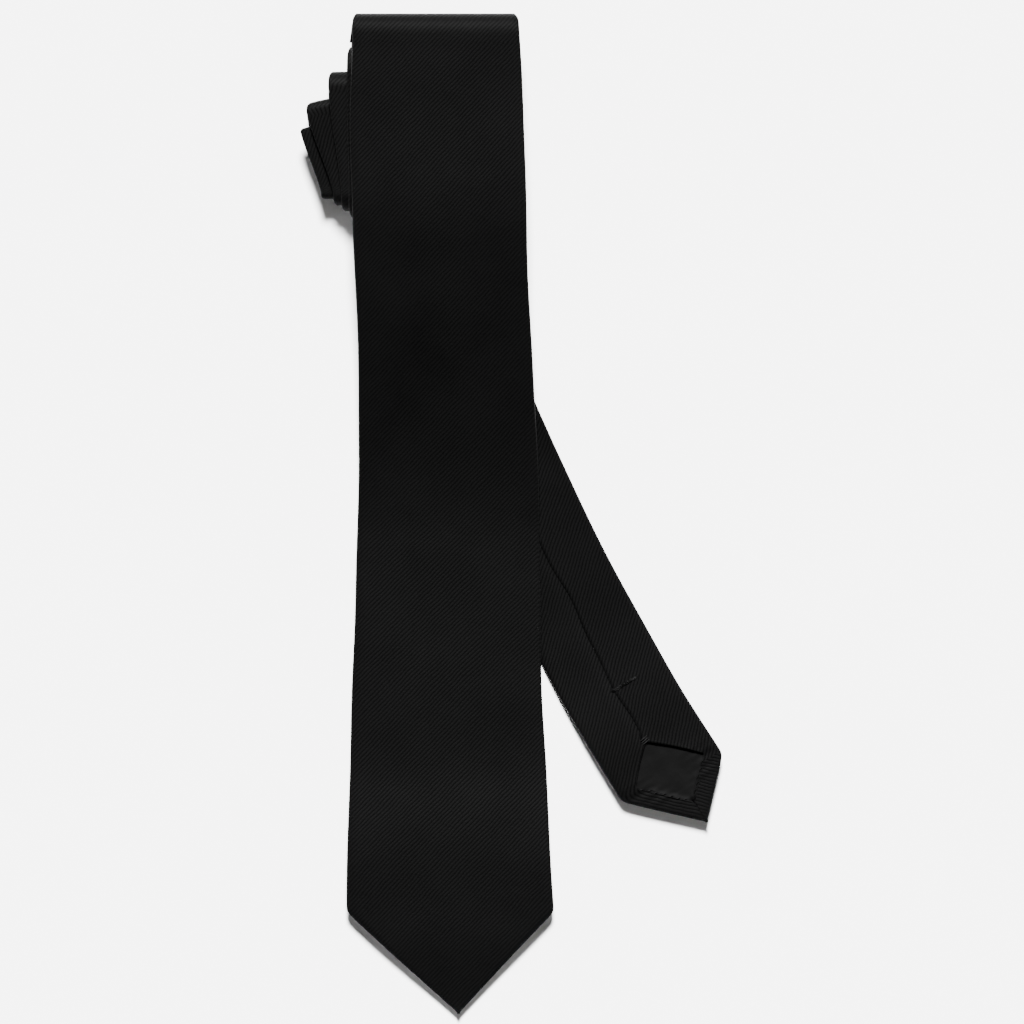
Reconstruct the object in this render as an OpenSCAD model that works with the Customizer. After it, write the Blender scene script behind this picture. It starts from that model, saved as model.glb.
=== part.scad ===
// A gentleman's necktie, folded in half at the neck, rolled flat from that fold, with both ends lying free.
// The blade lies face up along -Y over the roll and the tail comes out from under it, back side up.
// Millimetres, +Z up, origin under the middle of the tie's bounding box, on the surface it lies on.

/* [Blade] */
// Width of the blade at its corners
blade_w = 75; // [72:0.5:78]
// Distance from the blade's corners to its point
blade_point = 36.8; // [34:0.2:40]
// Width of the blade where it leaves the roll
blade_top_w = 60; // [58:0.5:62]
// Distance from the blade's point to the top of its back opening
blade_opening = 74; // [66:1:78]

/* [Tail] */
// Width of the tail at its corners
tail_w = 39.6; // [38:0.2:41]
// Width of the tail where it enters the roll
tail_top_w = 35; // [33:0.5:36]
// Distance from the tail's point to the top of its back opening
tail_opening = 38.5; // [34:0.5:42]

/* [Neck] */
// Width of the cloth at the neck, the narrowest place
neck_w = 33; // [31:0.5:35]

/* [Cloth] */
// Thickness of one layer of the tie's own cloth
ply = 0.3; // [0.25:0.05:0.35]
// Thickness of a free end, cloth and interlining together
free_t = 1.5; // [1.4:0.05:1.6]
// Thickness of the cloth pressed in the roll
rolled_t = 1.05; // [1:0.01:1.08]
// Thickness of the tipping, the satin behind each point
tipping_t = 0.16; // [0.12:0.02:0.2]
// Width of the folded hem along each point
hem_w = 6; // [5:0.5:7]

/* [Roll] */
// Thickness of one pair of layers in the roll
pair = 2.27; // [2.25:0.01:2.3]
// Y of the centre of the folds at the roll's lower end
fold_y = 117.3; // [117:0.1:118]
// Y of the highest point of the outermost fold
top_y = 182.5; // [181.5:0.5:183]

/* [Keeper] */
// Distance from the blade's point to the keeper loop
keeper_y = 200; // [195:1:205]
// Length of the keeper loop across the blade
keeper_l = 40; // [38:1:44]
// Width of the keeper loop along the blade
keeper_w = 12; // [10:1:12]
// Height of the passage under the keeper loop
keeper_gap = 0.8; // [0.6:0.1:0.8]

/* [Hidden] */

TIE = "#1b1b1e";
LINING = "#242427";
WOOL = "#8a857b";
THREAD = "#101012";
PALE_THREAD = "#5a5a60";
LABEL = "#2c2c30";

body_gap = 0.3;              // clear space between pieces that move apart
seam_gap = 0.4;              // width of the line where two panels are sewn together
slot = 0.35;                 // half the gap between the two back flaps
thread_w = 0.25;             // half the width of the slip stitch that closes that gap
lining_gap = 0.05;           // room round the interlining
fold_steps = 10;             // straight steps in each half turn of the roll
pitch = pair / 2;

// ---- the roll, seen from the side: y along the tie, z up ----
turns = 4;
r_fold = [for (i = [0:turns - 1]) pair * (turns - i) - pitch];
roll_z = r_fold[0] + pitch / 2 + rolled_t / 2;
roll_top = roll_z + r_fold[0] + pitch / 2 + rolled_t / 2;
tail_z = roll_top + body_gap + free_t / 2;
blade_z = tail_z + free_t + body_gap;
over_z = (tail_z + blade_z) / 2;
under_z = roll_z - r_fold[0];
r_top = (over_z - under_z) / 2;
top_c = top_y - pitch / 2 - rolled_t / 2 - r_top;
// where each top fold ends, from the outermost to the innermost layer; the last is the fold at the neck
top_ends = [170.7, 161.6, 150.2, 140.8];
// left edge of the layers at the lower folds and at the upper folds
left_low = [-58.2, -61.1, -64.4, -68.8];
left_high = [-59.9, -66.6, -74.4, -76.6];
left_top = -57.8;
tail_inset = 0.8;            // how far the tail's edge lies inside the blade's edge in the roll

// One half turn about (cy, cz): each step gives y, z, the outward direction and the left edge.
function half_turn(cy, cz, r, from, xl) =
    [for (i = [0:fold_steps]) let (a = from - 180 * i / fold_steps)
        [cy + r * cos(a), cz + r * sin(a), cos(a), sin(a), xl]];
function low_fold(i) = half_turn(fold_y, roll_z, r_fold[i], 270, left_low[i]);
function high_fold(i) = let (r = r_fold[i] - pitch)
    half_turn(top_ends[i] - pitch - r, roll_z + pitch, r, 90, left_high[i]);
neck_y = top_ends[turns - 1] - pitch;
// A point part of the way along the straight leg between two steps
function between(a, b, f) = a + (b - a) * f;
// A short stretch of a leg, cut where two panels are sewn together
function seam_cut(a, b, side) = let (l = norm([b[0] - a[0], b[1] - a[1]]))
    between(a, b, 0.5 + side * seam_gap / 2 / l);

// The middle line of each pair of layers, from the top fold to the neck
fold_in = half_turn(top_c, (over_z + under_z) / 2, r_top, 90, left_top);
wind = concat(fold_in, low_fold(0), high_fold(0), low_fold(1), high_fold(1), low_fold(2), high_fold(2),
    low_fold(3), [[neck_y, roll_z + r_fold[3], 0, 1, left_high[3]]]);
function run(p, i = 0, s = 0) = i >= len(p) - 1 ? [s]
    : concat([s], run(p, i + 1, s + norm([p[i + 1][0] - p[i][0], p[i + 1][1] - p[i][1]])));
wind_s = run(wind);
wind_l = wind_s[len(wind_s) - 1];
// Number of steps before the leg where each seam lies
step = fold_steps + 1;
blade_seam = step * 7;       // the lower leg of the innermost turn
tail_seam = step * 2;        // the upper leg of the outermost turn

// A station is a cross-section: centre, direction across, direction of the cloth's face, half width, half gap.
function across_x(xl, w, y, z, ny, nz) = [[xl + w / 2, y, z], [1, 0, 0], [0, ny, nz], w / 2, slot];
function roll_w(top_w, s) = top_w + (neck_w - top_w) * min(1, s / wind_l);
function outer(p, s) = across_x(p[4], roll_w(blade_top_w, s),
    p[0] + p[2] * pitch / 2, p[1] + p[3] * pitch / 2, p[2], p[3]);
function inner(p, s) = across_x(p[4] + tail_inset * (1 - s / wind_l), roll_w(tail_top_w, s),
    p[0] - p[2] * pitch / 2, p[1] - p[3] * pitch / 2, -p[2], -p[3]);
function outer_run(from, to) = [for (i = [from:to]) outer(wind[i], wind_s[i])];
function inner_run(from, to) = [for (i = [from:to]) inner(wind[i], wind_s[i])];
function reversed(p) = [for (i = [len(p) - 1:-1:0]) p[i]];
last = len(wind) - 1;
blade_cut = [for (side = [-1, 1]) outer(seam_cut(wind[blade_seam - 1], wind[blade_seam], side),
    (wind_s[blade_seam - 1] + wind_s[blade_seam]) / 2)];
tail_cut = [for (side = [-1, 1]) inner(seam_cut(wind[tail_seam - 1], wind[tail_seam], side),
    (wind_s[tail_seam - 1] + wind_s[tail_seam]) / 2)];
neck_fold = [for (i = [1:5]) let (a = 90 - 30 * i)
    across_x(left_high[3], neck_w, neck_y + pitch / 2 * cos(a), roll_z + r_fold[3] + pitch / 2 * sin(a),
        cos(a), sin(a))];

blade_in_roll = concat(outer_run(0, blade_seam - 1), [blade_cut[0]]);
gusset_run = concat([blade_cut[1]], outer_run(blade_seam, last), neck_fold,
    reversed(inner_run(tail_seam, last)), [tail_cut[1]]);
tail_in_roll = concat([tail_cut[0]], reversed(inner_run(0, tail_seam - 1)));

// ---- the free blade ----
function ease(u) = let (c = max(0, min(1, u))) c * c * (3 - 2 * c);
function slope_of(u, rise, length) = let (c = max(0, min(1, u))) 6 * c * (1 - c) * rise / length;
tip_y = -182.8;
corner_y = tip_y + blade_point;
rest_z = free_t / 2;         // middle of a free end that lies on the surface
over_tail_z = rest_z + free_t + 2 * body_gap;
blade_drop = [-10, 120];     // the blade comes down from the roll between these, in Y
blade_foot = [-100, -62];    // and from the tail to the surface between these
tail_drop = [10, 120];       // the tail comes down from the roll to the surface between these
function blade_mid(y) = rest_z + (over_tail_z - rest_z) * ease((y - blade_foot[0]) / (blade_foot[1] - blade_foot[0]))
    + (blade_z - over_tail_z) * ease((y - blade_drop[0]) / (blade_drop[1] - blade_drop[0]));
function grade(y, span, rise) = slope_of((y - span[0]) / (span[1] - span[0]), rise, span[1] - span[0]);
function blade_slope(y) = grade(y, blade_foot, over_tail_z - rest_z) + grade(y, blade_drop, blade_z - over_tail_z);
// The middle of the blade's width wanders a little, as cloth that is laid down by hand does.
function blade_x(y) = lookup(y, [[tip_y, -19.6], [corner_y, -22.9], [-63, -23.8], [38, -23.2], [108, -26.2],
    [172, -27.8]]);
function blade_half(y) = y < corner_y ? max(0.8, blade_w / 2 * (y - tip_y) / blade_point)
    : lookup(y, [[corner_y, blade_w / 2], [-63, 34], [38, 31.7], [108, 31.2], [172, blade_top_w / 2]]);
blade_apex = tip_y + blade_opening;
hem_x = hem_w * sqrt(2);
// Half the width of the opening behind a point: it widens from its apex to the corners, then follows the hem.
function opening(half, from_tip, point, apex, corner_half) = from_tip >= apex ? slot
    : from_tip > point ? slot + (corner_half - hem_x - slot) * (apex - from_tip) / (apex - point)
    : max(slot, half - hem_x);
function blade_station(y, dz = 0) = let (n = sqrt(1 + pow(blade_slope(y), 2)))
    [[blade_x(y), y, blade_mid(y) + dz], [1, 0, 0], [0, -blade_slope(y) / n, 1 / n], blade_half(y),
        opening(blade_half(y), y - tip_y, blade_point, blade_opening, blade_w / 2)];
blade_y = concat([tip_y, tip_y + 3, tip_y + 9, tip_y + 20, corner_y, corner_y + 8, -128, blade_apex, -100],
    [for (y = [-93:7.5:-62]) y], [-50, -30], [for (y = [-10:6.5:120.1]) y], [136, 154, top_c - body_gap / 2]);
blade_run = [for (y = blade_y) blade_station(y)];

// ---- the free tail: d is the distance from its point along its curved middle line ----
tail_tip = [71.4, -112.7];
tail_point = tail_w / 2;
tail_aim = 32;               // degrees between the tail's end and Y
tail_turn = 0.00034;         // how fast the tail curves towards the roll, degrees per square millimetre
function heading(d) = tail_aim - tail_turn * d * d;
d_step = 2;
tail_steps = 170;
tail_line = [for (i = 0, x = tail_tip[0], y = tail_tip[1]; i <= tail_steps;
    x = x - d_step * sin(heading((i + 0.5) * d_step)), y = y + d_step * cos(heading((i + 0.5) * d_step)), i = i + 1)
    [i * d_step, x, y]];
tail_xs = [for (p = tail_line) [p[0], p[1]]];
tail_ys = [for (p = tail_line) [p[0], p[2]]];
tail_at_y = [for (p = tail_line) [p[2], p[0]]];
swing_y = 153;               // the tail swings about the middle of its width here
square_from = 90;            // the cross-sections start to turn at this distance from the tail's point
square_over = 45;            // and they're square to Y this much further on
swing_d = lookup(swing_y, tail_at_y);
lift_d = 74;                 // the tail's end lifts about a line across it, this far from its point
function tail_half(d) = d < tail_point ? max(0.8, d)
    : tail_w / 2 + (tail_top_w - tail_w) / 2 * (d - tail_point) / (swing_d - tail_point);
function tail_mid(y) = rest_z + (tail_z - rest_z) * ease((y - tail_drop[0]) / (tail_drop[1] - tail_drop[0]));
// The cross-sections turn from square to the tail's own line, at its end, to square to Y under the blade.
function across_angle(d) = heading(d) * (1 - ease((d - square_from) / square_over));
function tail_station(d, half = -1, y = 1000) = let (yy = y < 999 ? y : lookup(d, tail_ys), b = across_angle(d),
    slope = grade(yy, tail_drop, tail_z - rest_z), n = sqrt(1 + slope * slope),
    h = half >= 0 ? half : tail_half(d) / cos(heading(d) - b))
    [[lookup(d, tail_xs), yy, tail_mid(yy)], [cos(b), sin(b), 0], [0, slope / n, -1 / n], h,
        opening(tail_half(d), d, tail_point, tail_opening, tail_w / 2)];
tail_end_run = [for (d = [lift_d - body_gap / 2, 64, 56, 48, tail_opening, 30, tail_point, 13, 6, 2, 0])
    tail_station(d)];
tail_round = [for (a = [85:-17:0]) tail_station(swing_d, tail_top_w / 2 * cos(a), swing_y + tail_top_w / 2 * sin(a))];
tail_run = concat(tail_round, [for (d = [284:-8:140]) tail_station(d)],
    [for (d = [130:-11:lift_d + 10]) tail_station(d)], [tail_station(lift_d + body_gap / 2)]);

// ---- solids swept through stations ----
// a is along the cross-section, b is towards the cloth's face
function at(st, a, b) = st[0] + st[1] * a + st[2] * b;
// cap lists the four-sided faces that close each end, by their points' places in a ring
module sweep(rings, cap) {
    n = len(rings[0]);
    m = len(rings);
    sides = [for (i = [0:m - 2], k = [0:n - 1])
        [i * n + k, i * n + (k + 1) % n, (i + 1) * n + (k + 1) % n, (i + 1) * n + k]];
    near = [for (q = cap) [q[3], q[2], q[1], q[0]]];
    far = [for (q = cap) [for (k = q) (m - 1) * n + k]];
    polyhedron(points = [for (r = rings, p = r) p], faces = concat(sides, near, far), convexity = 12);
}
envelope_cap = [[0, 1, 10, 11], [1, 2, 9, 10], [2, 3, 8, 9], [3, 4, 7, 8], [4, 5, 6, 7]];
strip_cap = [[0, 1, 2, 3]];
// The folded cloth: a face, two turned edges and two back flaps that meet at the middle
module envelope(run, t) {
    h = t / 2;
    sweep([for (st = run) let (w = st[3], g = min(st[4], w - ply - 0.1), v = w - ply)
        [at(st, -g, -h), at(st, -w, -h), at(st, -w, h), at(st, w, h), at(st, w, -h), at(st, g, -h),
            at(st, g, ply - h), at(st, v, ply - h), at(st, v, h - ply), at(st, -v, h - ply),
            at(st, -v, ply - h), at(st, -g, ply - h)]], envelope_cap);
}
// A flat strip inside the envelope, between heights low and high, inset from its edges
module strip(run, low, high, inset) {
    sweep([for (st = run) let (w = max(0.3, st[3] - inset))
        [at(st, -w, low), at(st, -w, high), at(st, w, high), at(st, w, low)]], strip_cap);
}
// The interlining lies against the face
module interlining(run, t, thick) {
    strip(run, t / 2 - ply - lining_gap - thick, t / 2 - ply - lining_gap, ply + 2 * lining_gap);
}
// The slip stitch closes the gap between the flaps
module slip_stitch(run, t) {
    sweep([for (st = run) let (w = thread_w, low = 0.05 - t / 2, high = 0.25 - t / 2)
        [at(st, -w, low), at(st, -w, high), at(st, w, high), at(st, w, low)]], strip_cap);
}
rolled_lining = rolled_t - 2 * ply - 2 * lining_gap;
free_lining = 0.55;

// ---- pieces in the roll ----
module blade_panel_in_roll() {
    color(TIE) envelope(blade_in_roll, rolled_t);
}
module neck_gusset() {
    color(TIE) envelope(gusset_run, rolled_t);
}
module tail_panel_in_roll() {
    color(TIE) envelope(tail_in_roll, rolled_t);
}
outer_half = outer_run(0, last);
inner_half = reversed(inner_run(0, last));
module blade_interlining_in_roll() {
    color(WOOL) interlining(outer_half, rolled_t, rolled_lining);
}
module tail_interlining_in_roll() {
    color(WOOL) interlining(inner_half, rolled_t, rolled_lining);
}
module blade_slip_stitch_in_roll() {
    color(THREAD) slip_stitch(outer_half, rolled_t);
}
module tail_slip_stitch_in_roll() {
    color(THREAD) slip_stitch(inner_half, rolled_t);
}
module blade_to_gusset_seam() {
    color(THREAD) envelope(blade_cut, rolled_t);
}
module tail_to_gusset_seam() {
    color(THREAD) envelope(reversed(tail_cut), rolled_t);
}

// ---- pieces of the blade ----
function below(run, y) = [for (st = run) if (st[0][1] <= y) st];
function beyond(run, y) = [for (st = run) if (st[0][1] >= y) st];
module blade_shell() {
    color(TIE) envelope(blade_run, free_t);
}
module blade_interlining() {
    color(WOOL) interlining(beyond(blade_run, tip_y + 9), free_t, free_lining);
}
tipping_low = ply + 0.02;    // the tipping lies on the flaps and hems, this far above the back surface
tipping_in = 2.5;            // how far its edges lie inside the tie's edges
module tipping(run) {
    color(LINING) strip(run, tipping_low - free_t / 2, tipping_low + tipping_t - free_t / 2, tipping_in);
}
module blade_tipping() {
    tipping(beyond(below(blade_run, -90), tip_y + 9));
}
module blade_slip_stitch() {
    color(THREAD) slip_stitch(beyond(blade_run, blade_apex + 2), free_t);
}
// A bar of thread across the back seam, standing on the back surface
module bar_on_back(st, length, width, height) {
    angle = atan2(st[1][1], st[1][0]);
    lean = st[2][2] > 0 ? -atan2(st[2][1], st[2][2]) : 0;
    translate(at(st, 0, -(free_t + height) / 2)) rotate([lean, 0, angle])
        cube([length, width, height], center = true);
}
module blade_bar_tack() {
    color(THREAD) bar_on_back(blade_station(blade_apex + 25), 14, 1, 0.25);
}
// Small hand stitches over the apex of an opening, inside the thickness of the flaps
apex_stitch = [2 * slot - 0.1, 0.35, 0.2];
apex_stitch_step = 0.7;
apex_stitch_in = 0.16;       // from the back surface to the middle of a stitch
module apex_tack(st) {
    angle = atan2(st[1][1], st[1][0]);
    for (k = [-1:1]) translate(at(st, 0, apex_stitch_in - free_t / 2)) rotate([0, 0, angle])
        translate([0, k * apex_stitch_step, 0]) cube(apex_stitch, center = true);
}
module blade_apex_tack() {
    color(PALE_THREAD) apex_tack(blade_station(blade_apex + 1));
}
hem_stitch = [1.4, 0.3, 0.22];
stitch_step = 4;
stitch_z = 0.17;             // height of the middle of a stitch in a hem that lies on the surface
stitch_in = 0.9;             // how far each stitch lies inside the hem's edge, across the tie
// Stitches that hold the tipping to the hem: along the inner edge of the hem, on both sides of the point
// lean_x is how far the middle line moves sideways for each millimetre from the point
module hem_stitches(tip, angle, point, lean_x) {
    spread = point - hem_x - 2;
    count = floor(spread * sqrt(2) / stitch_step);
    for (side = [-1, 1], k = [1:count - 1]) {
        u = k / count * spread;
        translate([tip[0], tip[1], stitch_z]) rotate([0, 0, angle])
            translate([side * (u - stitch_in) + lean_x * (u + hem_x), u + hem_x, 0]) rotate([0, 0, side * 45])
            cube(hem_stitch, center = true);
    }
}
module blade_tipping_stitches() {
    color(THREAD) hem_stitches([blade_x(tip_y), tip_y], 0, blade_point,
        (blade_x(corner_y) - blade_x(tip_y)) / blade_point);
}
keeper_st = blade_station(tip_y + keeper_y);
keeper_cloth = 0.5;
keeper_foot = 2.5;           // length of each sewn-down end of the loop
back_gap = 0.15;             // from the blade's back to what lies against it
module on_blade_back(st) {
    translate(at(st, 0, -free_t / 2)) rotate([-atan2(st[2][1], st[2][2]), 0, 0]) children();
}
module keeper_loop() {
    top = -back_gap;
    end = keeper_l / 2;
    inside = end - keeper_foot;
    color(TIE) on_blade_back(keeper_st) rotate([90, 0, 0]) linear_extrude(keeper_w, center = true)
        polygon([[-end, top], [-end, top - keeper_gap - keeper_cloth], [end, top - keeper_gap - keeper_cloth],
            [end, top], [inside, top], [inside, top - keeper_gap], [-inside, top - keeper_gap], [-inside, top]]);
}
keeper_stitch = [0.4, 1.4, 0.5];
keeper_stitch_step = 2.2;
keeper_stitch_out = 0.3;     // from the loop's end to the middle of a stitch
module keeper_loop_stitches() {
    color(THREAD) on_blade_back(keeper_st) for (side = [-1, 1], k = [-2:2])
        translate([side * (keeper_l / 2 + keeper_stitch_out), k * keeper_stitch_step, -keeper_stitch[2]])
        cube(keeper_stitch, center = true);
}
label_size = [30, 16, 0.15];
label_from_keeper = 30;      // from the middle of the loop to the middle of the label, towards the point
module care_label() {
    color(LABEL) on_blade_back(blade_station(tip_y + keeper_y - label_from_keeper))
        translate([0, 0, -0.25]) cube(label_size, center = true);
}

// ---- pieces of the tail ----
module tail_shell() {
    color(TIE) envelope(tail_run, free_t);
}
module tail_interlining() {
    color(WOOL) interlining(tail_run, free_t, free_lining);
}
module tail_slip_stitch() {
    color(THREAD) slip_stitch(tail_run, free_t);
}
module tail_end_shell() {
    color(TIE) envelope(tail_end_run, free_t);
}
module tail_end_interlining() {
    color(WOOL) interlining([for (i = [0:len(tail_end_run) - 4]) tail_end_run[i]], free_t, free_lining);
}
module tail_end_tipping() {
    tipping([for (i = [1:len(tail_end_run) - 4]) tail_end_run[i]]);
}
module tail_end_slip_stitch() {
    color(THREAD) slip_stitch([for (i = [0:3]) tail_end_run[i]], free_t);
}
module tail_bar_tack() {
    st = tail_station(62);
    color(THREAD) bar_on_back([at(st, 6, 0), st[1], st[2]], 12.2, 0.9, 0.3);
}
module tail_apex_tack() {
    color(PALE_THREAD) apex_tack(tail_station(tail_opening + 1));
}
module tail_tipping_stitches() {
    color(THREAD) translate([0, 0, free_t - 2 * stitch_z]) hem_stitches(tail_tip, heading(0), tail_point, 0);
}

blade_panel_in_roll();
neck_gusset();
tail_panel_in_roll();
blade_interlining_in_roll();
tail_interlining_in_roll();
blade_slip_stitch_in_roll();
tail_slip_stitch_in_roll();
blade_to_gusset_seam();
tail_to_gusset_seam();
blade_shell();
blade_interlining();
blade_tipping();
blade_slip_stitch();
blade_bar_tack();
blade_apex_tack();
blade_tipping_stitches();
keeper_loop();
keeper_loop_stitches();
care_label();
tail_shell();
tail_interlining();
tail_slip_stitch();
tail_end_shell();
tail_end_interlining();
tail_end_tipping();
tail_end_slip_stitch();
tail_bar_tack();
tail_apex_tack();
tail_tipping_stitches();
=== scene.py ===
"""A black twill necktie, folded in half at the neck and rolled flat, with its blade and tail lying free."""

import math

import bpy
import numpy as np
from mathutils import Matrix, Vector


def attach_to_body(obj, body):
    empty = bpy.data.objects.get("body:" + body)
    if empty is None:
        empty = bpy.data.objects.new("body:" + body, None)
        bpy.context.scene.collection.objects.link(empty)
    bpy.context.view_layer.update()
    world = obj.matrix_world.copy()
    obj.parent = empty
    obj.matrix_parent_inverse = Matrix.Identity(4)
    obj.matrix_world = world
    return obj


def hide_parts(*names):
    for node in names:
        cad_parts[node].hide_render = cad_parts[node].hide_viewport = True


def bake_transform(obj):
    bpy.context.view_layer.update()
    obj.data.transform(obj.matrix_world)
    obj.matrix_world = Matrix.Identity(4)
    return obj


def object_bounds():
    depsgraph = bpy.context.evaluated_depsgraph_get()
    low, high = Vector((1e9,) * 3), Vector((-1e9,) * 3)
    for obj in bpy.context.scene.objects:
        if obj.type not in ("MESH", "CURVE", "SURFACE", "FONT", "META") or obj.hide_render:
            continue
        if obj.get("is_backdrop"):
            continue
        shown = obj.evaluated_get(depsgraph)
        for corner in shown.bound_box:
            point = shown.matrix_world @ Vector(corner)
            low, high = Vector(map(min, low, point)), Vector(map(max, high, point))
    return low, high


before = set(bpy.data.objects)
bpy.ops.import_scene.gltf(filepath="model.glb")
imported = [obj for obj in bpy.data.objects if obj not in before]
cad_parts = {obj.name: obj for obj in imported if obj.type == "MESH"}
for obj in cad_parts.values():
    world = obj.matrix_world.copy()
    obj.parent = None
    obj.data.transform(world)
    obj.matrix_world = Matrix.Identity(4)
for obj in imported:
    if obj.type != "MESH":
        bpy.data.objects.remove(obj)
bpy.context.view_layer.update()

MM = 0.001

# ---- sizes in millimetres, close to the CAD model's ----
PLY = 0.3                     # one layer of the tie's cloth
FREE_T, ROLLED_T = 1.5, 1.05  # thickness of a free end and of the pressed layers in the roll
BODY_GAP = 0.3
PAIR = 2.27                   # one pair of layers in the roll
PITCH = PAIR / 2
TURNS = 4
TOP_STEPS = 28                # rows in the top fold, over which the loose layers come together
FOLD_Y = 117.3                # centre of the roll's lower folds
TOP_Y = 182.5                 # how far the outermost fold reaches along Y
TOP_ENDS = (170.7, 161.6, 150.2, 140.8)       # where each upper fold ends, outermost first
LEFT_LOW = (-58.9, -61.6, -64.6, -69.0)       # left edge of the layers at the lower folds
LEFT_HIGH = (-59.9, -66.6, -74.4, -76.6)      # and at the upper folds
SLANT_HIGH = (0.0, 0.02, 0.29, 0.27)          # how far each upper fold slants from square
LEFT_TOP = -57.9
FOLD_SQUARE = 0.5             # the top fold is pressed flatter than a half circle
SOFT = 0.6                    # how far the cloth's soft edges stand out
FOLD_CORNER = 1.0             # how much the layers' corners are rounded off at the folds
BLADE_W, BLADE_TOP_W, BLADE_POINT, BLADE_OPENING = 75.0, 60.0, 36.8, 74.0
TAIL_W, TAIL_TOP_W, TAIL_OPENING = 39.6, 35.0, 38.5
NECK_W = 33.0
TIP_Y = -182.8
CORNER_Y = TIP_Y + BLADE_POINT
TAIL_POINT = TAIL_W / 2
TAIL_TIP = (71.4, -112.7)
TAIL_HEADING, TAIL_TURN = 32.0, 0.00034       # degrees at the point, and lost per square millimetre
LIFT_D = 74.0                 # where the tail's end lifts, from its point
SWING_Y = 153.0
HEM_W = 6.0
RIB = 1.2                     # distance from one twill rib to the next
KEEPER_FROM_TIP, KEEPER_L, KEEPER_W = 200.0, 40.0, 12.0
LABEL_FROM_KEEPER, LABEL_L, LABEL_W = 30.0, 28.0, 12.0
SEAM_LIFT = 0.22              # how far the flaps stand out along the seam of a free end
OPENING_LIFT = 0.5            # and beside the opening at its point
FAR = 1e3                     # the distance from a point, for a stretch that has none

rng = np.random.default_rng(7)


def ease(u):
    """0 to 1 with level ends."""
    c = np.clip(u, 0.0, 1.0)
    return c * c * (3 - 2 * c)


def smooth_through(x, table):
    """A smooth curve through a few (place, value) pairs."""
    xs, ys = np.array(table, float).T
    slope = np.gradient(ys, xs)
    x = np.clip(np.asarray(x, float), xs[0], xs[-1])
    k = np.clip(np.searchsorted(xs, x) - 1, 0, len(xs) - 2)
    h = xs[k + 1] - xs[k]
    u = (x - xs[k]) / h
    return (
        (2 * u**3 - 3 * u**2 + 1) * ys[k]
        + (u**3 - 2 * u**2 + u) * h * slope[k]
        + (-2 * u**3 + 3 * u**2) * ys[k + 1]
        + (u**3 - u**2) * h * slope[k + 1]
    )


class Run:
    """Cross-sections along a stretch of the tie: centre c, direction e across, and f out of the face.

    h is half the width, t the thickness and s the distance along the cloth. lean is the angle between the
    section and the cloth's own width, and slant tips a fold to one side. d is the distance from the free
    end's point, and end tells the tail (1) from the blade (0). u0 shifts the section on the flat cloth.
    """

    FIELDS = ("c", "e", "f", "h", "t", "s", "lean", "slant", "d", "end", "u0")

    def __init__(self, **values):
        for k in self.FIELDS:
            setattr(self, k, np.asarray(values.get(k, np.zeros(len(values["h"]))), float))

    def cut(self, keep):
        return Run(**{k: getattr(self, k)[keep] for k in self.FIELDS})

    def flipped(self):
        other = Run(**{k: getattr(self, k)[::-1] for k in self.FIELDS})
        other.s, other.lean = self.s[-1] - other.s, -other.lean
        return other

    def after(self, before):
        """This run with its cloth carrying on from the end of the one before."""
        gap = np.linalg.norm(self.c[0] - before.c[-1])
        values = {k: getattr(self, k) for k in self.FIELDS}
        values["s"] = self.s - self.s[0] + before.s[-1] + gap
        return Run(**values)

    def __len__(self):
        return len(self.h)


def joined(*runs):
    return Run(**{k: np.concatenate([getattr(r, k) for r in runs]) for k in Run.FIELDS})


# ---- the roll, seen from the side ----
R_FOLD = [PAIR * (TURNS - i) - PITCH for i in range(TURNS)]
ROLL_Z = R_FOLD[0] + PITCH / 2 + ROLLED_T / 2
ROLL_TOP = ROLL_Z + R_FOLD[0] + PITCH / 2 + ROLLED_T / 2
TAIL_Z = ROLL_TOP + BODY_GAP + FREE_T / 2
BLADE_Z = TAIL_Z + FREE_T + BODY_GAP
OVER_Z = (TAIL_Z + BLADE_Z) / 2
UNDER_Z = ROLL_Z - R_FOLD[0]
R_TOP = (OVER_Z - UNDER_Z) / 2
TOP_C = TOP_Y - PITCH / 2 - ROLLED_T / 2 - R_TOP
LEG_STEP = 2.0


def straight_across(n):
    return np.tile([1.0, 0.0, 0.0], (n, 1))


def signed_power(v, exponent):
    return np.sign(v) * np.abs(v) ** exponent


def half_turn(cy, cz, r, start, left, slant, steps=20, square=1.0):
    """Rows of y, z, outward y, outward z, left edge and slant round a fold.

    A square below 1 flattens the fold.
    """
    a = np.radians(start - 180 * np.arange(steps + 1) / steps)
    cos, sin = np.cos(a), np.sin(a)
    out = np.column_stack([signed_power(cos, 2 - square), signed_power(sin, 2 - square)])
    out /= np.linalg.norm(out, axis=1)[:, None]
    y, z = cy + r * signed_power(cos, square), cz + r * signed_power(sin, square)
    one = np.ones_like(a)
    return np.column_stack([y, z, out, left * one, slant * one])


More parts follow.
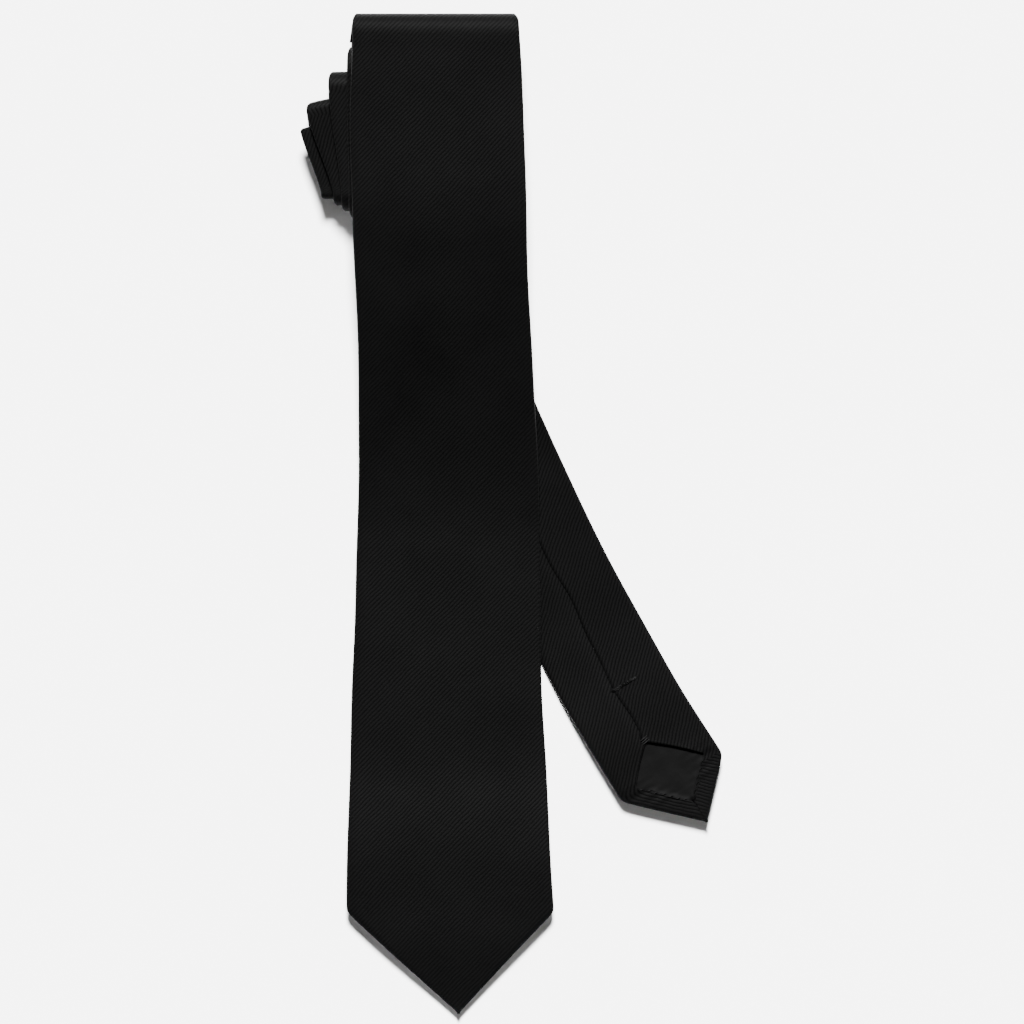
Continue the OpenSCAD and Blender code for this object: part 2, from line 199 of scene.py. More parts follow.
def winding():
    """The middle line of each pair of layers, from the top fold to the neck, and each leg's first row."""
    parts = [half_turn(TOP_C, (OVER_Z + UNDER_Z) / 2, R_TOP, 90, LEFT_TOP, 0.0, TOP_STEPS, FOLD_SQUARE)]
    for i in range(TURNS):
        parts.append(half_turn(FOLD_Y, ROLL_Z, R_FOLD[i], 270, LEFT_LOW[i], 0.0, 20 - 3 * i))
        if i < TURNS - 1:
            r = R_FOLD[i] - PITCH
            centre_y = TOP_ENDS[i] - PITCH - r
            parts.append(half_turn(centre_y, ROLL_Z + PITCH, r, 90, LEFT_HIGH[i], SLANT_HIGH[i], 16))
    neck_z = ROLL_Z + R_FOLD[-1]
    parts.append(np.array([[TOP_ENDS[-1] - PITCH, neck_z, 0.0, 1.0, LEFT_HIGH[-1], SLANT_HIGH[-1]]]))
    rows, starts = [parts[0]], [0]
    for p in parts[1:]:
        a, b = rows[-1][-1], p[0]
        n = max(2, int(np.hypot(*(b - a)[:2]) / LEG_STEP))
        u = (np.arange(1, n) / n)[:, None]
        leg = a + (b - a) * u
        leg[:, 4] = a[4] + (b[4] - a[4]) * (0.25 * ease(u[:, 0]) + 0.75 * u[:, 0])
        starts.append(sum(map(len, rows)))
        rows += [leg, p]
    return np.vstack(rows), starts


WIND, LEG_START = winding()
WIND_S = np.concatenate([[0], np.cumsum(np.hypot(*np.diff(WIND[:, :2], axis=0).T))])
WIND_L = WIND_S[-1]


def layer(side, top_w):
    """One layer of each pair: side 1 is the outer layer, the blade's, and -1 the inner layer, the tail's."""
    n = len(WIND)
    fold = ease(np.arange(n) / TOP_STEPS)
    gap = (FREE_T + BODY_GAP) / 2 * (1 - fold) + PITCH / 2 * fold
    t = FREE_T * (1 - fold) + ROLLED_T * fold
    w = top_w + (NECK_W - top_w) * WIND_S / WIND_L
    left = WIND[:, 4] + (0 if side > 0 else 0.8 - 1.9 * np.exp(-WIND_S / 12))
    y = WIND[:, 0] + side * WIND[:, 2] * gap
    z = WIND[:, 1] + side * WIND[:, 3] * gap
    c = np.column_stack([left + w / 2, y, z])
    f = np.column_stack([np.zeros(n), side * WIND[:, 2], side * WIND[:, 3]])
    s = np.concatenate([[0], np.cumsum(np.hypot(np.diff(y), np.diff(z)))])
    lean = np.arctan(np.gradient(c[:, 0], np.maximum.accumulate(s + 1e-6 * np.arange(n))))
    h = w / 2 + SOFT - FOLD_CORNER * np.abs(WIND[:, 2]) ** 6
    return Run(c=c, e=straight_across(n), f=f, h=h, t=t, s=s, lean=lean, slant=WIND[:, 5], d=np.full(n, FAR))


# ---- the free blade ----
REST_Z = FREE_T / 2
OVER_TAIL_Z = REST_Z + FREE_T + 2 * BODY_GAP
BLADE_DROP = (-10.0, 124.0)
BLADE_FOOT = (-100.0, -62.0)
TAIL_DROP = (16.0, 120.0)


def rise(y, span, height):
    return height * ease((np.asarray(y, float) - span[0]) / (span[1] - span[0]))


def blade_mid(y):
    return REST_Z + rise(y, BLADE_FOOT, OVER_TAIL_Z - REST_Z) + rise(y, BLADE_DROP, BLADE_Z - OVER_TAIL_Z)


def blade_x(y):
    return smooth_through(y, [(TIP_Y, -19.6), (CORNER_Y, -22.9), (-110, -23.2), (-63, -23.5), (0, -23.4),
                              (38, -23.9), (72, -25.0), (108, -26.2), (140, -27.2), (172, -27.9)])


def rounded(a, b, k):
    """The smaller of two widths, with the corner between them rounded; a larger k is sharper."""
    return -np.logaddexp(-k * a, -k * b) / k


def blade_half(y):
    y = np.asarray(y, float)
    body = smooth_through(y, [(CORNER_Y, 37.4), (-117, 36.3), (-90, 35.2), (-63, 34.1), (-13, 32.9),
                              (20, 32.2), (50, 31.4), (80, 31.0), (108, 31.2), (150, 31.0), (172, 30.0)])
    return np.maximum(0.55, rounded(BLADE_W / 2 * (y - TIP_Y) / BLADE_POINT, body + SOFT, 1.6))


def normal_from(y, mid, sign):
    g = np.gradient(mid, y)
    n = np.sqrt(1 + g * g)
    return np.column_stack([np.zeros_like(y), -sign * g / n, sign / n])


def blade_run():
    share = np.array([0, 0.012, 0.04, 0.09, 0.16, 0.25, 0.34, 0.43, 0.52, 0.61, 0.7, 0.79, 0.86, 0.9])
    tip = TIP_Y + BLADE_POINT * share
    corner = CORNER_Y + np.array([-2.6, -1.6, -0.8, 0, 0.8, 1.6, 2.6, 4.0])
    y = np.concatenate([tip, corner, np.arange(CORNER_Y + 5.8, TOP_C - 0.8, 2.2), [TOP_C - 0.02]])
    mid = blade_mid(y)
    c = np.column_stack([blade_x(y), y, mid])
    n = len(y)
    s = np.concatenate([[0], np.cumsum(np.hypot(np.diff(y), np.diff(mid)))])
    lean = np.arctan(np.gradient(c[:, 0], y))
    lean[y < CORNER_Y + 5] = lean[np.searchsorted(y, CORNER_Y + 6)]
    u0 = np.where(y < CORNER_Y, blade_x(y) - blade_x(CORNER_Y), 0.0)     # the point leans to one side
    return Run(c=c, e=straight_across(n), f=normal_from(y, mid, 1), h=blade_half(y), t=np.full(n, FREE_T),
               s=s, lean=lean, d=y - TIP_Y, u0=u0)


# ---- the free tail ----
def heading(d):
    return TAIL_HEADING - TAIL_TURN * np.asarray(d, float) ** 2


D_STEP = 0.5
D_FINE = np.arange(0, 330.01, D_STEP)
HEADINGS = np.radians(heading(D_FINE[:-1] + D_STEP / 2))
TAIL_X = TAIL_TIP[0] - np.concatenate([[0], np.cumsum(D_STEP * np.sin(HEADINGS))])
TAIL_Y = TAIL_TIP[1] + np.concatenate([[0], np.cumsum(D_STEP * np.cos(HEADINGS))])
TAIL_LEAN = 2.3               # how far the point's axis lies to the right of the tail's middle


def tail_lean(d):
    return TAIL_LEAN * (1 - np.clip((np.asarray(d, float) - 45) / 120, 0, 1))


def tail_edges(d):
    """How far the tail's left and right edges are from the axis of its point."""
    d = np.asarray(d, float)
    swing_d = np.interp(SWING_Y, TAIL_Y, D_FINE)
    half = TAIL_W / 2 + SOFT + (TAIL_TOP_W - TAIL_W) / 2 * (d - TAIL_POINT) / (swing_d - TAIL_POINT)
    lean = tail_lean(d)
    return rounded(np.maximum(d, 0.5), half + lean, 1.2), rounded(np.maximum(d, 0.5), half - lean, 1.4)


def tail_mid(y):
    return REST_Z + rise(y, TAIL_DROP, TAIL_Z - REST_Z)


def tail_run():
    """From the top fold to the tail's point."""
    d_top = np.interp(TOP_C - 0.02, TAIL_Y, D_FINE)
    tip = np.array([13.0, 11.2, 9.4, 7.6, 5.8, 4.2, 2.8, 1.6, 0.8, 0.3, 0])
    corner = np.concatenate([np.arange(27.0, 20.5, -0.7), np.arange(20.3, 13.6, -0.7)])
    d = np.concatenate([[d_top], np.arange(d_top - 1.2, 28.4, -1.8), corner, tip])
    x, y = np.interp(d, D_FINE, TAIL_X), np.interp(d, D_FINE, TAIL_Y)
    x = x - 2.2 * ease((d - 235) / 70)      # it shows a little beside the blade near the top
    b = np.radians(heading(d) * (1 - ease((d - 90) / 45)))
    left, right = tail_edges(d)
    wide = 1 / np.cos(np.radians(heading(d)) - b)
    h, shift = (left + right) / 2 * wide, (right - left) / 2 * wide
    mid = tail_mid(y)
    n = len(d)
    e = np.column_stack([np.cos(b), np.sin(b), np.zeros(n)])
    c = np.column_stack([x, y, mid]) + e * shift[:, None]
    u0 = shift + tail_lean(d)
    return Run(c=c, e=e, f=normal_from(y, mid, -1), h=h, t=np.full(n, FREE_T), s=d_top - d,
               lean=np.radians(heading(d)) - b, d=d, end=np.ones(n), u0=u0)


# ---- meshes ----
def make_mesh(name, points, faces, cloth, flat=0):
    """A mesh of points in millimetres, with the place of each corner on the flat cloth.

    The last faces, flat of them, are flat ends.
    """
    me = bpy.data.meshes.new(name)
    me.from_pydata([tuple(p) for p in np.asarray(points) * MM], [], faces)
    me.update()
    at = me.attributes.new("cloth", "FLOAT_VECTOR", "CORNER")
    place = np.zeros((len(cloth), 3), np.float32)
    place[:, :2] = cloth
    at.data.foreach_set("vector", place.ravel())
    me.polygons.foreach_set("use_smooth", [True] * (len(faces) - flat) + [False] * flat)
    ob = bpy.data.objects.new(name, me)
    bpy.context.scene.collection.objects.link(ob)
    return ob


def seam_wave(s):
    """The edge of the upper flap wanders a little along the tie."""
    return 0.45 * np.sin(s / 9.0 + 1.3) + 0.28 * np.sin(s / 4.1)


LAP = 2.8                     # how far one flap runs under the other


def flap_ends(seam, over):
    """Where the left and right flaps end. The one on top, on the side over, ends at the seam that shows."""
    return (seam, seam - LAP) if over < 0 else (seam + LAP, seam)


def openings(run, over, apex, seam_at, left_corner, right_corner, left_hem, right_hem):
    """Where the left and right flaps end at each section of a free end, from the seam to the point.

    The flaps part at apex, seam_at across from the point's axis, and meet the turned hems at the corners.
    """
    d = run.d
    tip_u0 = run.u0[np.argmin(d)]
    axis = run.u0 - tip_u0
    wave = seam_wave(run.s)
    seam = wave * np.clip((d - apex) / 12, 0, 1) + (seam_at + tip_u0) * (1 - ease((d - apex) / 60))
    left, right = flap_ends(seam, over)
    u = (apex - d) / (apex - left_corner[0])
    v_left = seam_at + (left_corner[1] - seam_at) * u - 0.7 * np.sin(np.pi * np.clip(u, 0, 1)) - axis
    u = (apex - d) / (apex - right_corner[0])
    v_right = seam_at + (right_corner[1] - seam_at) * u + 0.7 * np.sin(np.pi * np.clip(u, 0, 1)) - axis
    wrinkle = 0.25 * np.sin(d * 1.9)
    hem_left = -np.maximum(d - left_hem * math.sqrt(2), 0.05) - axis + wrinkle * (d > 14)
    hem_right = np.maximum(d - right_hem * math.sqrt(2), 0.05) - axis + wrinkle * (d > 14)
    part = ease((d - apex) / 4)
    return (np.where(d < apex, np.maximum(v_left, hem_left), v_left * (1 - part) + left * part),
            np.where(d < apex, np.minimum(v_right, hem_right), v_right * (1 - part) + right * part))


N_FLAP, N_EDGE, N_FACE = 13, 7, 23   # points across each flap, round each edge and across the face
SLANT_REACH = 15.0            # how far in from the left edge a slanted fold keeps slanting
LIFT_OVER = 0.33              # how far the lower flap dips under the upper one
BLADE_RISE, BLADE_DROOP = 4.0, 1.7    # how far the blade rises towards its point, and droops again at its end
TAIL_RISE = 3.2               # how far the tail's end rises
ROLL_CROWN, CROWN_DIP = 0.55, 0.12    # how far the layers on the roll bulge, and dip beside the top fold


def lay(pts):
    """Lays places in millimetres down as loose cloth: slight waves, and free ends that curl up a little."""
    x, y, z = pts[..., 0], pts[..., 1], pts[..., 2]
    free = 1 - ease((y - 60) / 60)
    wave = 0.25 * (1 + np.sin(y / 23.0 + x / 41.0)) + 0.18 * (1 + np.sin(y / 37.0 - x / 15.0 + 2.0))
    between = 11 + 0.1 * np.clip(-50 - y, 0, None)     # X of a line between the blade and the tail's end
    curl = BLADE_RISE * ease((-60 - y) / 70) - BLADE_DROOP * ease((CORNER_Y - 6 - y) / 32)
    blade_end = np.where(x < between, curl, 0)
    a = math.radians(TAIL_HEADING)
    back = (x - TAIL_TIP[0]) * -math.sin(a) + (y - TAIL_TIP[1]) * math.cos(a)
    tail_end = np.where((x > between) & (y < 20), TAIL_RISE * ease((96 - back) / 60), 0)
    swell = 1 + 0.018 * np.sin(y / 13.0 + 0.6) * ease((y - 90) / 20)
    on_top = ease((z - 17.5) / 1.5)
    crown = ROLL_CROWN * np.exp(-((y - 134) / 20) ** 2) - CROWN_DIP * np.exp(-((y - 170) / 5) ** 2)
    out = pts.copy()
    out[..., 2] = z * swell + crown * on_top + wave * free + blade_end + tail_end
    out[..., 0] = x + 0.25 * np.sin(y / 27.0 + 0.8) + 0.12 * np.sin(y / 8.3)
    return out


def section(run, left, right, over, raised, inset):
    """Across and up positions, from the right flap's free edge round the face to the left flap's."""
    if over > 0:
        across, up = section(run, -right, -left, -over, raised, inset)
        return -across[:, ::-1], up[:, ::-1]
    h, t = run.h[:, None], run.t[:, None]
    r = t / 2
    left, right = left[:, None], right[:, None]
    reach = np.maximum(h - r, 0.05)
    side = np.maximum(np.minimum(r, h * 0.9) - inset, 0.06)
    spread = 0.5 * ease(np.linspace(0, 1, N_FLAP)) + 0.5 * np.linspace(0, 1, N_FLAP)
    turn = np.radians(np.linspace(-90, 90, N_EDGE))
    lift = LIFT_OVER * np.clip((0.6 + left - right) / 1.1, 0, 1)
    flap_r = right + (reach - right) * spread
    flap_l = -reach + (left + reach) * spread
    face = reach * np.linspace(1, -1, N_FACE)
    across = [flap_r, (reach + side * np.cos(turn))[:, 1:], face[:, 1:],
              (-reach - side * np.cos(turn))[:, 1:], flap_l[:, 1:]]
    dip = lift * (1 - ease((flap_r - left - 0.1) / 2.4))
    curl_r = raised[:, None] * np.exp(-(flap_r - right) / 7.0)
    curl_l = raised[:, None] * np.exp(-(left - flap_l) / 7.0)
    up = [inset + dip - curl_r * ease((reach - flap_r) / 2), (r + (r - inset) * np.sin(turn))[:, 1:],
          (t - inset + 0 * face)[:, 1:], (r - (r - inset) * np.sin(turn))[:, 1:],
          (inset - curl_l * ease((flap_l + reach) / 2))[:, 1:]]
    return np.hstack(across), np.hstack(up)


def cloth_map(run, a, hem):
    """Where each place on the section lies on the flat cloth, and where it lies if it is on a turned hem.

    hem holds the slopes of the point's left and right edges, and the hems are mirrored in those edges.
    """
    m = a.shape[1]
    k = np.arange(m)
    right, left = k < N_FLAP + 2, k > m - N_FLAP - 3
    h, u0, s, d = (v[:, None] for v in (run.h, run.u0, run.s, run.d))
    flat = np.where(right, 2 * h - a, np.where(left, -2 * h - a, a))
    lean = run.lean[:, None]
    normal = np.stack([flat * np.cos(lean) + u0, s + a * np.sin(lean)], axis=-1)
    if hem is None:
        return normal, normal
    tip_u0 = run.u0[np.argmin(run.d)]
    sign = 1 - 2 * run.end[:, None]
    slope = np.where(right, hem[1], hem[0])
    from_axis = a + u0 - tip_u0
    along = 2 * (slope * from_axis + d) / (1 + slope**2)
    turned = np.stack([along * slope - from_axis + tip_u0, s - sign * d + sign * (along - d)], axis=-1)
    return normal, np.where((right | left)[None, :, None], turned, normal)


def narrow_ends(rows):
    """Adds a row close to each end, so that the flat ends don't shade the cloth beside them."""
    return np.concatenate([rows[:1], rows[:1] * 0.99 + rows[1:2] * 0.01, rows[1:-1],
                           rows[-2:-1] * 0.01 + rows[-1:] * 0.99, rows[-1:]])


def placed(run, a, b):
    """Points at these places across each section and above its middle, laid down as cloth."""
    pts = run.c[:, None, :] + run.e[:, None, :] * a[..., None] + run.f[:, None, :] * b[..., None]
    pts[..., 1] += run.slant[:, None] * SLANT_REACH * (1 - np.exp(-(a + run.h[:, None]) / SLANT_REACH))
    return lay(pts)


def ring_faces(i, ring):
    """The faces between one ring of points and the next."""
    k = np.arange(ring)
    k2 = (k + 1) % ring
    near, far = i * ring, (i + 1) * ring
    return np.stack([near + k2, near + k, far + k, far + k2], axis=1).tolist()


def ring_cloth(flat, i):
    """The places on the flat cloth of those faces' corners."""
    k = np.arange(flat.shape[1])
    k2 = (k + 1) % len(k)
    return np.stack([flat[i, k2], flat[i, k], flat[i + 1, k], flat[i + 1, k2]], axis=1).reshape(-1, 2)


def envelope(name, run, over, ends=None, hem=None, point=0.0, raised=0.0):
    """The folded cloth as one closed skin: a face, two rounded edges and two overlapping back flaps."""
    left, right = ends if ends is not None else flap_ends(seam_wave(run.s), over)
    raised = np.broadcast_to(raised, len(run))
    oa, ob = section(run, left, right, over, raised, 0.0)
    ia, ib = section(run, left, right, over, raised, PLY)
    m = oa.shape[1]
    nose = 0.14                               # the flaps' free edges are turned and rounded
    a = np.hstack([oa, oa[:, -1:] + nose, ia[:, ::-1], oa[:, :1] - nose])
    b = np.hstack([ob, ob[:, -1:] + PLY / 2, ib[:, ::-1], ob[:, :1] + PLY / 2]) - run.t[:, None] / 2
    ring = a.shape[1]
    normal, turned = cloth_map(run, oa, hem)
    pick = np.concatenate([np.arange(m), [m - 1], np.arange(m)[::-1], [0]])
    rows = (placed(run, a, b), normal[:, pick], turned[:, pick], run.d)
    pts, normal, turned, d = (narrow_ends(v) for v in rows)
    n = len(pts)
    faces, cloth = [], []
    for i in range(n - 1):
        faces += ring_faces(i, ring)
        on_hem = hem is not None and (d[i] + d[i + 1]) / 2 < point
        cloth.append(ring_cloth(turned if on_hem else normal, i))
    k = np.arange(m - 1)
    for i, flip in ((0, True), (n - 1, False)):
        inner = ring - 2 - k
        quads = np.stack([i * ring + k, i * ring + inner, i * ring + inner - 1, i * ring + k + 1], axis=1)
        near = [i * ring + m - 1, i * ring + m + 1, i * ring + m]
        far = [i * ring, i * ring + ring - 1, i * ring + ring - 2]
        for q in quads.tolist() + [near, far]:
            faces.append(q[::-1] if flip else q)
            cloth.append(np.repeat(normal[i, :1], len(q), axis=0))
    return make_mesh(name, pts.reshape(-1, 3), faces, np.concatenate(cloth), 2 * (m + 1))


def ribbon(name, run, left, right, low, high):
    """A strip of cloth between two places across the tie, and between two heights above its back surface."""
    n, n_across = len(run), 13
    u = np.linspace(0, 1, n_across)
    a = np.broadcast_to(left, n)[:, None] * (1 - u) + np.broadcast_to(right, n)[:, None] * u
    low = low(a, run) if callable(low) else low + 0 * a
    high = low + high
    flat = np.stack([a, run.s[:, None] + a * np.sin(run.lean[:, None])], axis=-1)
    a, b = np.hstack([a, a[:, ::-1]]), np.hstack([low, high[:, ::-1]]) - run.t[:, None] / 2
    flat = np.concatenate([flat, flat[:, ::-1]], axis=1)
    ring = a.shape[1]
    faces, cloth = [], []
    for i in range(n - 1):
        faces += ring_faces(i, ring)
        cloth.append(ring_cloth(flat, i))
    for i, flip in ((0, True), (n - 1, False)):
        for k in range(n_across - 1):
            q = [i * ring + k, i * ring + ring - 1 - k, i * ring + ring - 2 - k, i * ring + k + 1]
            faces.append(q[::-1] if flip else q)
            cloth.append(np.repeat(flat[i, :1], 4, axis=0))
    return make_mesh(name, placed(run, a, b).reshape(-1, 3), faces, np.concatenate(cloth), 2 * (n_across - 1))


def tubes(name, paths, radius, sides=6):
    """Threads: round tubes along lists of points, with closed ends."""
    points, faces, cloth = [], [], []
    for path in paths:
        path = np.asarray(path, float)
        run = np.gradient(path, axis=0)
        run /= np.linalg.norm(run, axis=1)[:, None]
        up = np.array([0.0, 0.0, 1.0])
        side = np.cross(run, up)
        short = np.linalg.norm(side, axis=1) < 1e-3
        side[short] = (1.0, 0.0, 0.0)
        side /= np.linalg.norm(side, axis=1)[:, None]
        other = np.cross(side, run)
        base = len(points)
        a = 2 * np.pi * np.arange(sides) / sides
        for i, p in enumerate(path):
            taper = 0.55 if i in (0, len(path) - 1) else 1.0
            for q in a:
                points.append(p + radius * taper * (side[i] * math.cos(q) + other[i] * math.sin(q)))
        for i in range(len(path) - 1):
            for k in range(sides):
                k2 = (k + 1) % sides
                near, far = base + i * sides, base + (i + 1) * sides
                faces.append([near + k2, near + k, far + k, far + k2])
                cloth += [(k + 1, i), (k, i), (k, i + 1), (k + 1, i + 1)]
        faces.append([base + k for k in range(sides)])
        faces.append([base + (len(path) - 1) * sides + k for k in range(sides)][::-1])
        cloth += [(0, 0)] * (2 * sides)
    return make_mesh(name, lay(np.array(points)), faces, np.array(cloth, float) * 0.1)


def spot(run, key, where, across, up):
    """Points on a run: how far along it by key, how far across, and how high above its back surface."""
    order = np.argsort(key)
    where = np.asarray(where, float)

    def pick(v):
        return np.column_stack([np.interp(where, key[order], v[order, k]) for k in range(3)])

    t = np.interp(where, key[order], run.t[order])
    across, up = np.broadcast_to(across, where.shape), np.broadcast_to(up, where.shape)
    return pick(run.c) + pick(run.e) * across[:, None] + pick(run.f) * (up - t / 2)[:, None]


# ---- the stretches of the tie ----
def neck_fold():
    """The small fold where the outer layer turns back as the inner layer, at the middle of the neck."""
    centre_y, centre_z = TOP_ENDS[-1] - PITCH, ROLL_Z + R_FOLD[-1]
    rows = half_turn(centre_y, centre_z, PITCH / 2, 90, LEFT_HIGH[-1], SLANT_HIGH[-1], 10)[1:-1]
    n = len(rows)
    u = np.arange(1, n + 1) / (n + 1)
    c = np.column_stack([rows[:, 4] + NECK_W / 2 + 0.8 * u, rows[:, 0], rows[:, 1]])
    f = np.column_stack([np.zeros(n), rows[:, 2:4]])
    return Run(c=c, e=straight_across(n), f=f, h=np.full(n, NECK_W / 2 + SOFT), t=np.full(n, ROLLED_T),
               s=np.pi * PITCH / 2 * u, slant=rows[:, 5], d=np.full(n, FAR))


def part(run, first, last):
    return run.cut(slice(first, last + 1))


BLADE_SEAM = LEG_START[7] + 8         # rows of the winding where the panels are sewn to the neck piece
TAIL_SEAM = LEG_START[2] + 8
TAIL_SPLIT_Y = 60.0                   # where the tail's two stretches meet, under the blade

blade = blade_run()
outer = layer(1, BLADE_TOP_W).after(blade)
inner = layer(-1, TAIL_TOP_W)
last = len(WIND) - 1
blade_free = joined(blade, part(outer, 0, TOP_STEPS))
blade_rolled = part(outer, TOP_STEPS, BLADE_SEAM)
fold = neck_fold().after(outer)
gusset = joined(part(outer, BLADE_SEAM, last), fold, part(inner, TAIL_SEAM, last).flipped().after(fold))
tail_rolled = part(inner, TOP_STEPS, TAIL_SEAM).flipped()
tail_top = part(inner, 0, TOP_STEPS).flipped().after(tail_rolled)
tail = tail_run().after(tail_top)
split = int(np.argmin(np.abs(tail.c[:, 1] - TAIL_SPLIT_Y)))
tail_upper = joined(tail_top, part(tail, 0, split))
tail_lower = part(tail, split, len(tail) - 1)

# the backs of the free ends: which flap is on top, where the flaps part, where they meet the hems (along and
# across), and the hems' widths
BLADE_BACK = dict(over=-1, apex=BLADE_OPENING, seam_at=-3.0, left_corner=(38.0, -31.5),
                  right_corner=(37.0, 26.5), left_hem=HEM_W, right_hem=HEM_W)
TAIL_BACK = dict(over=1, apex=TAIL_OPENING - 1.7, seam_at=-3.5, left_corner=(24.0, -15.9),
                 right_corner=(22.0, 12.4), left_hem=6.2, right_hem=6.8)
POINT_LEAN = blade_x(TIP_Y) - blade_x(CORNER_Y)
BLADE_HEM = (-(BLADE_W / 2 + POINT_LEAN) / BLADE_POINT, (BLADE_W / 2 - POINT_LEAN) / BLADE_POINT)


def pressed_on_roll(run, height):
    """The flaps lie loose by this height along a free end, and are pressed flat where it lies on the roll."""
    return height * (1 - ease((run.c[:, 1] - 60) / 40))


def raised_flaps(run, back, height):
    """The flaps stand up a little beside the opening, and the hems are slightly puckered."""
    d = run.d
    corner = back["left_corner"][0]
    beside = ease((d - corner + 3) / 5) * (1 - ease((d - back["apex"] - 1) / 6))
    seam = pressed_on_roll(run, SEAM_LIFT) * ease((d - back["apex"]) / 8)
    pucker = 0.12 * (1 + np.sin(d * 1.7)) * (1 - ease((d - corner) / 4))
    return height * beside + seam + pucker


# ---- materials ----
def new_material(name, **sockets):
    m = bpy.data.materials.new(name)
    m.use_nodes = True
    shader = m.node_tree.nodes["Principled BSDF"]
    for k, v in sockets.items():
        shader.inputs[k.replace("_", " ")].default_value = v
    return m, m.node_tree, shader


def add(tree, kind, inputs=(), **props):
    """A new node with its properties set, and its inputs set or linked, by place or by name."""
    n = tree.nodes.new(kind)
    for k, v in props.items():
        setattr(n, k, v)
    for k, v in dict(inputs).items():
        if isinstance(v, bpy.types.NodeSocket):
            tree.links.new(v, n.inputs[k])
        else:
            n.inputs[k].default_value = v
    return n


def maths(tree, operation, *values):
    return add(tree, "ShaderNodeMath", enumerate(values), operation=operation).outputs[0]


def ramp(tree, factor, *stops):
    n = add(tree, "ShaderNodeValToRGB", {0: factor})
    while len(n.color_ramp.elements) < len(stops):
        n.color_ramp.elements.new(0.5)
    for e, (place, color) in zip(n.color_ramp.elements, stops):
        rgb = color if hasattr(color, "__len__") else (color,) * 3
        e.position, e.color = place, (*rgb, 1.0)
    return n.outputs[0]


def noise(tree, vector, scale, detail=3.0, rough=0.55):
    inputs = {"Vector": vector, "Scale": scale, "Detail": detail, "Roughness": rough}
    return add(tree, "ShaderNodeTexNoise", inputs).outputs[0]


def wave_node(tree, value, period):
    """A sine wave that repeats every period, in the value's own units."""
    return maths(tree, "SINE", maths(tree, "MULTIPLY", value, 2 * math.pi / period))


def blend_of(tree, *shares):
    """The sum of two values, each multiplied by its share."""
    return maths(tree, "ADD", *(maths(tree, "MULTIPLY", value, share) for value, share in shares))


def cloth_uv(tree):
    at = add(tree, "ShaderNodeAttribute", attribute_name="cloth")
    uv = add(tree, "ShaderNodeSeparateXYZ", {0: at.outputs["Vector"]})
    return at.outputs["Vector"], uv.outputs[0], uv.outputs[1]


def finish_with(tree, shader, color, height, distance, strength=1.0):
    tree.links.new(color, shader.inputs["Base Color"])
    bump = add(tree, "ShaderNodeBump", {"Height": height, "Distance": distance, "Strength": strength})
    tree.links.new(bump.outputs[0], shader.inputs["Normal"])


def twill():
    """Black twill: rounded ribs at 45 degrees to the cloth's length, each made of fine short floats, with a
    painted highlight on each rib's crest and painted shade in the groove between ribs.
    """
    m, t, shader = new_material("black_twill", Roughness=0.5, Specular_IOR_Level=0.0115,
                                Sheen_Weight=0.003, Sheen_Roughness=0.5)
    vector, u, v = cloth_uv(t)
    drift = maths(t, "MULTIPLY", maths(t, "SUBTRACT", noise(t, vector, 0.11, 2.0), 0.5), 0.9)
    along = maths(t, "ADD", maths(t, "DIVIDE", maths(t, "SUBTRACT", u, v), RIB * math.sqrt(2)), drift)
    rib = maths(t, "POWER", maths(t, "ABSOLUTE", wave_node(t, along, 2.0)), 0.75)
    step = maths(t, "DIVIDE", maths(t, "ADD", maths(t, "MULTIPLY", u, 0.35), v), 0.42)
    floats = maths(t, "ABSOLUTE", wave_node(t, step, 2.0))
    slub = noise(t, vector, 1.5, 5.0, 0.7)
    height = maths(t, "ADD", rib, blend_of(t, (floats, 0.16), (slub, 0.9)))
    worn = noise(t, vector, 0.035, 3.0)
    # painted light: the colour follows the ribs, lighter on their crests (painted highlight) and darker in
    # the grooves between them (painted shade); the slub and worn noise add random tone
    shade = maths(t, "MULTIPLY", blend_of(t, (rib, 0.6), (slub, 0.75)),
                  maths(t, "ADD", maths(t, "MULTIPLY", worn, 0.6), 0.7))
    color = ramp(t, shade, (0.05, 0.00003), (0.5, 0.0003), (1.0, 0.0014))
    finish_with(t, shader, color, height, 0.00009)
    return m


def satin():
    """The lining of the points: smooth dark satin with fine threads and a faint crease."""
    m, t, shader = new_material("dark_satin", Roughness=0.6, Specular_IOR_Level=0.013)
    vector, u, _ = cloth_uv(t)
    threads = wave_node(t, u, 0.35)
    soft = noise(t, vector, 0.16, 3.0)
    shade = blend_of(t, (soft, 0.8), (threads, 0.05))
    color = ramp(t, shade, (0.1, 0.0011), (0.9, 0.0024))
    height = blend_of(t, (threads, 0.06), (soft, 1.5))
    finish_with(t, shader, color, height, 0.00015, 0.8)
    return m


def wool():
    """The interlining: a loose grey-brown woven canvas."""
    m, t, shader = new_material("wool_canvas", Roughness=0.9)
    vector, u, v = cloth_uv(t)
    warp, weft = wave_node(t, u, 0.9), wave_node(t, v, 0.9)
    crossed = maths(t, "MULTIPLY", maths(t, "MULTIPLY", warp, weft), 0.5)
    weave = maths(t, "ADD", crossed, noise(t, vector, 0.8))
    color = ramp(t, weave, (0.1, (0.07, 0.063, 0.053)), (1.0, (0.27, 0.25, 0.21)))
    finish_with(t, shader, color, weave, 0.0002)
    return m


def thread(name, dark, light):
    """Twisted sewing thread."""
    m, t, shader = new_material(name, Roughness=0.5, Specular_IOR_Level=0.04)
    vector, u, v = cloth_uv(t)
    twist = maths(t, "SINE", maths(t, "MULTIPLY", maths(t, "ADD", u, v), 12.0))
    shade = maths(t, "ADD", maths(t, "MULTIPLY", twist, 0.35), noise(t, vector, 3.0))
    finish_with(t, shader, ramp(t, shade, (0.2, dark), (0.9, light)), twist, 0.00008)
    return m


